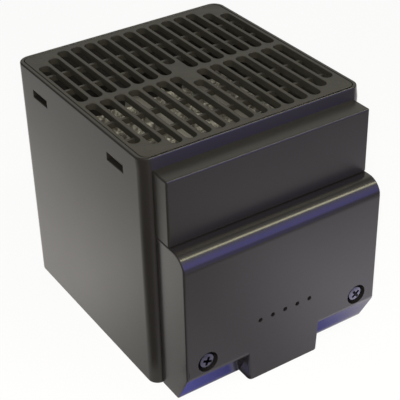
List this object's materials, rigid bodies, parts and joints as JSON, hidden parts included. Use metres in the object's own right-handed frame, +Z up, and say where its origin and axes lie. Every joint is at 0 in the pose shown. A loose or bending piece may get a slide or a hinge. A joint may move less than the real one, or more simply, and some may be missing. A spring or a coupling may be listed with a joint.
{
  "type": "enclosure heater",
  "caption": "Black touch-safe fan heater for a cabinet: cube housing with a slotted outlet grille over corrugated fins, stepped connection box in front, rail clip behind.",
  "frame": {"origin": "on the plane of the base, under the middle of the overall box", "axes": "+X to the right seen from the connection box, +Y to the rail at the back, +Z up along the air stream"},
  "size_m": [0.085, 0.1104, 0.0885],
  "materials": {
    "housing_plastic": "fine moulded texture, semi-gloss black",
    "grille_plastic": "fine moulded texture, semi-gloss black",
    "cover_plastic": "fine moulded texture, semi-gloss black",
    "clip_plastic": "moulded, satin",
    "fan_plastic": "moulded, satin",
    "frame_plastic": "glass-filled moulding, dull",
    "zinc_steel": "zinc plated",
    "oxide_steel": "black oxide, oiled",
    "shaft_steel": "ground",
    "board_laminate": "solder mask",
    "terminal_plastic": "moulded polyamide",
    "terminal_brass": "nickel-free brass",
    "winding_copper": "enamelled wire on laminations",
    "bearing_bronze": "sintered",
    "magnet_ferrite": "ferrite ring",
    "bar_aluminium": "drawn tube",
    "fin_aluminium": "bright rolled strip",
    "cutout_phenolic": "moulded phenolic",
    "lead_brown": "silicone sleeve",
    "lead_blue": "silicone sleeve",
    "lead_black": "silicone sleeve"
  },
  "bodies": {
    "heater": {"housing": "housing_plastic", "outlet_grille": "grille_plastic", "terminal_cover": "cover_plastic", "cover_screws": "oxide_steel", "terminal_board": "board_laminate", "board_screws": "zinc_steel", "terminal_block": "terminal_plastic", "terminal_clamps": "terminal_brass", "terminal_screws": "zinc_steel", "fan_frame": "fan_plastic", "fan_stator": "winding_copper", "fan_bearings": "bearing_bronze", "heater_frame": "frame_plastic", "stack_screws": "zinc_steel", "heater_bar_left": "bar_aluminium", "heater_bar_middle": "bar_aluminium", "heater_bar_right": "bar_aluminium", "fin_strip_1": "fin_aluminium", "fin_strip_2": "fin_aluminium", "fin_strip_3": "fin_aluminium", "fin_strip_4": "fin_aluminium", "fin_strip_5": "fin_aluminium", "fin_strip_6": "fin_aluminium", "fin_plate_1": "fin_aluminium", "fin_plate_2": "fin_aluminium", "fin_plate_3": "fin_aluminium", "fin_plate_4": "fin_aluminium", "thermal_cutout": "cutout_phenolic", "live_lead": "lead_brown", "neutral_lead": "lead_blue", "fan_lead": "lead_black", "rail_clip": "clip_plastic", "clip_screws": "zinc_steel"},
    "rotor": {"fan_rotor": "fan_plastic", "rotor_magnet": "magnet_ferrite", "fan_shaft": "shaft_steel"}
  },
  "joints": [
    {"name": "fan_spin", "type": "hinge", "parent": "heater", "child": "rotor", "pos_m": [0, 0.0038, 0.02], "axis": [0, 0, 1], "continuous": true}
  ]
}
